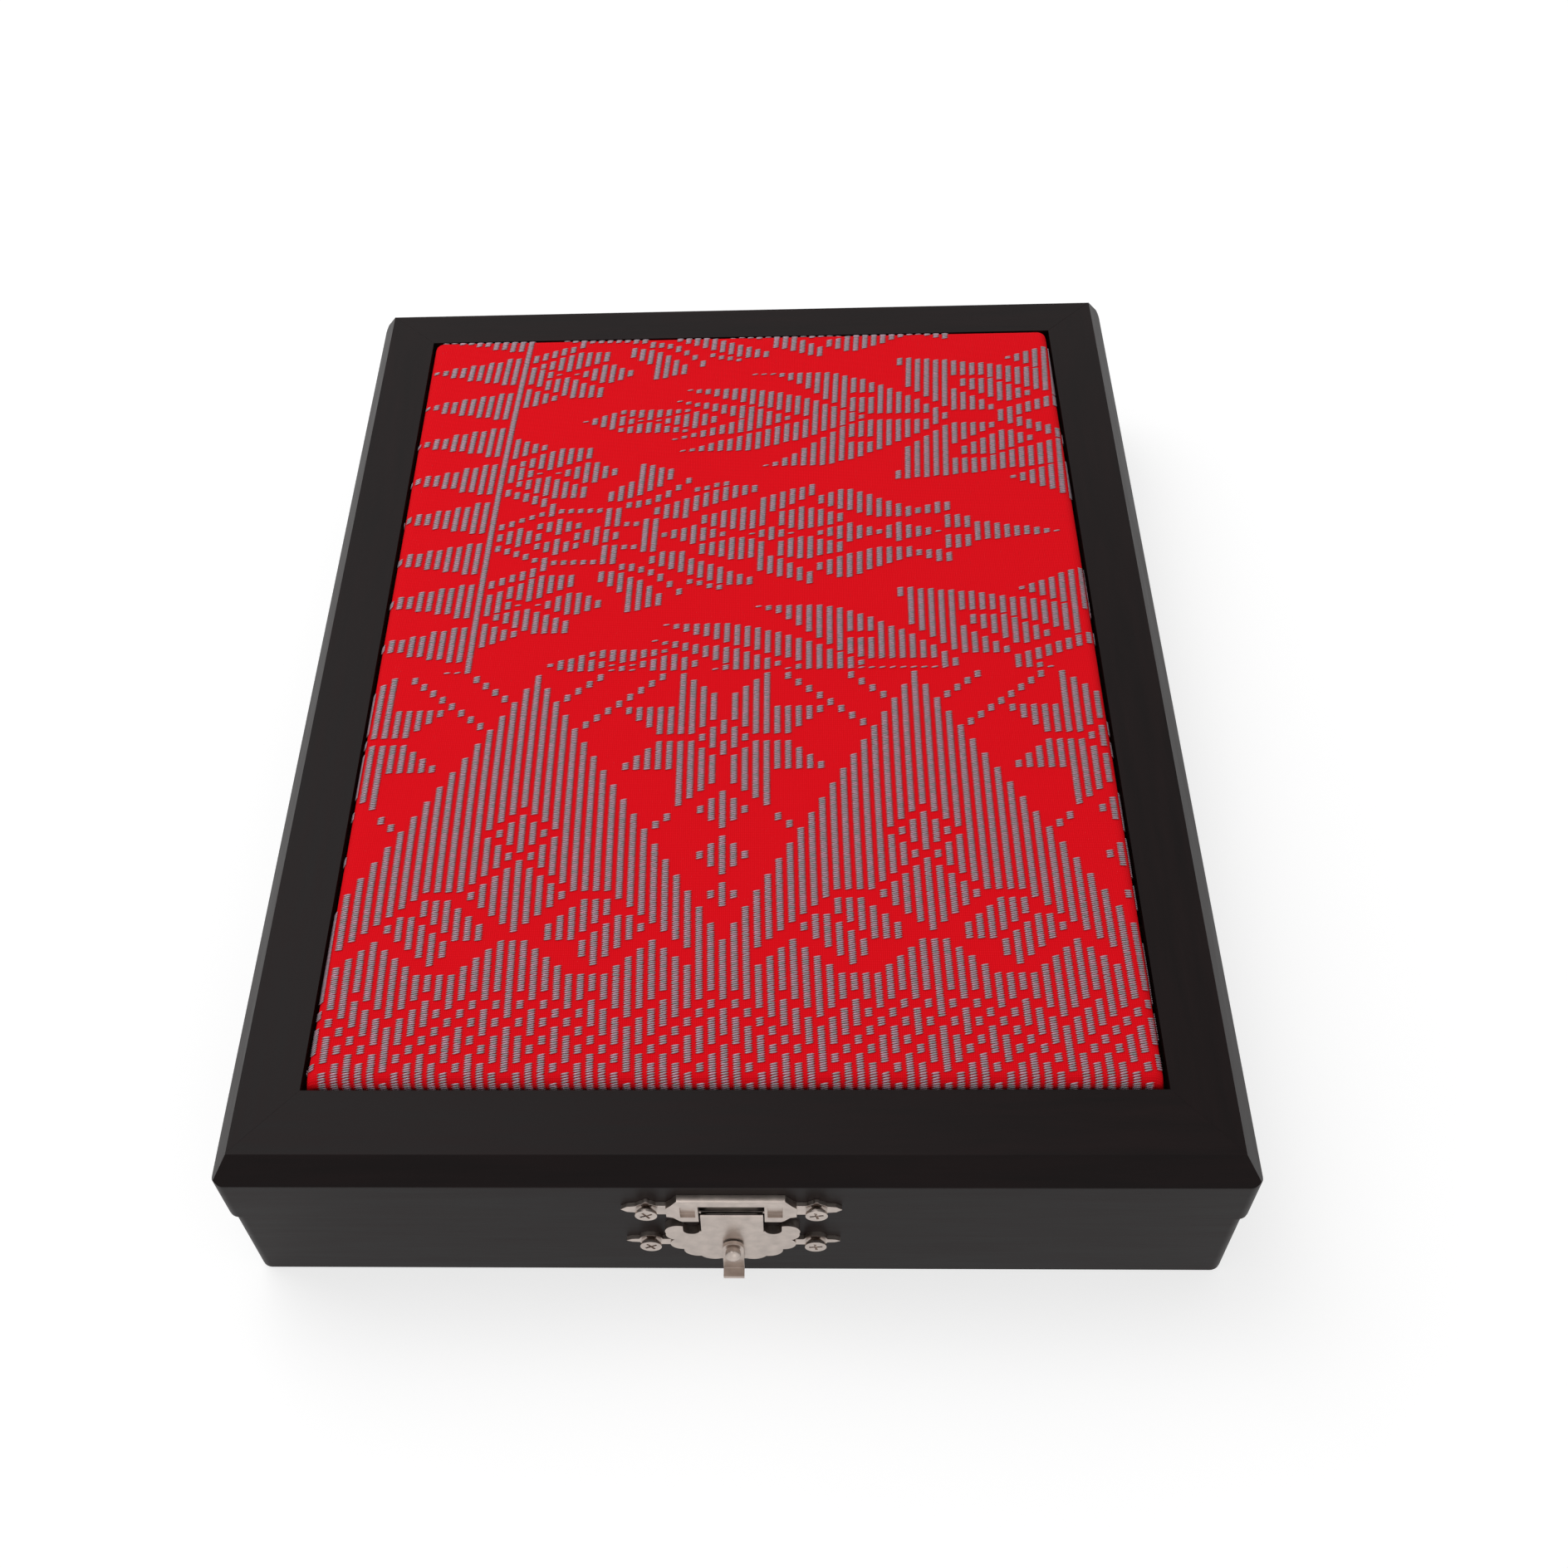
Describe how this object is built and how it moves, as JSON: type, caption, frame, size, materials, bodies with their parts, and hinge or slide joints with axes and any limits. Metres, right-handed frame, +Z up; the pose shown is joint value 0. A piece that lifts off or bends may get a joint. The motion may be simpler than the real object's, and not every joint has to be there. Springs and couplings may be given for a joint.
{
  "type": "hinged keepsake box",
  "caption": "Low rectangular lacquered wooden box with a padded brocade panel framed in its hinged lid and a nickel spring catch at the front.",
  "frame": {"origin": "middle of the flat underside of the tray, on the surface that the box stands on", "axes": "+Z up, +Y towards the hinges at the back, -Y towards the catch, +X to the right seen from the front"},
  "size_m": [0.2, 0.2748, 0.0472],
  "materials": {
    "lacquered_wood": "black-brown satin lacquer over wood",
    "board": "bare plywood, sanded",
    "velvet": "wine-red short velvet glued on card",
    "songket": "red woven ground with raised silver-grey metal threads",
    "wadding": "soft white wadding",
    "nickel": "warm satin nickel plate on stamped steel",
    "steel": "plain bright steel"
  },
  "bodies": {
    "base": {"base_front_wall": "lacquered_wood", "base_back_wall": "lacquered_wood", "base_left_wall": "lacquered_wood", "base_right_wall": "lacquered_wood", "base_bottom_board": "board", "base_floor_lining": "velvet", "base_front_lining": "velvet", "base_back_lining": "velvet", "base_left_lining": "velvet", "base_right_lining": "velvet", "catch_cover_plate": "nickel", "catch_cover_screws": "nickel", "catch_pivot_pin": "steel", "catch_spring": "steel", "hinge_left_base_leaf": "nickel", "hinge_right_base_leaf": "nickel", "hinge_pins": "steel", "hinge_base_screws": "nickel"},
    "lid": {"lid_front_wall": "lacquered_wood", "lid_back_wall": "lacquered_wood", "lid_left_wall": "lacquered_wood", "lid_right_wall": "lacquered_wood", "frame_front_rail": "lacquered_wood", "frame_back_rail": "lacquered_wood", "frame_left_rail": "lacquered_wood", "frame_right_rail": "lacquered_wood", "lid_backing_board": "board", "lid_lining": "velvet", "pad_board": "board", "pad_foam": "wadding", "songket_cover": "songket", "strike_plate": "nickel", "strike_screws": "nickel", "hinge_left_lid_leaf": "nickel", "hinge_right_lid_leaf": "nickel", "hinge_lid_screws": "nickel"},
    "catch": {"catch_lever": "steel", "catch_thumb_tab": "nickel", "catch_ball_rivet": "nickel"}
  },
  "joints": [
    {"name": "lid_hinge", "type": "hinge", "parent": "base", "child": "lid", "pos_m": [0, 0.1344, 0.0254], "axis": [-1, 0, 0], "range_deg": [0, 105]},
    {"name": "catch_turn", "type": "hinge", "parent": "base", "child": "catch", "pos_m": [0, -0.129, 0.0194], "axis": [-1, 0, 0], "range_deg": [-4, 8], "stiffness_Nm_per_rad": 0.006, "springref_deg": -34.38}
  ]
}
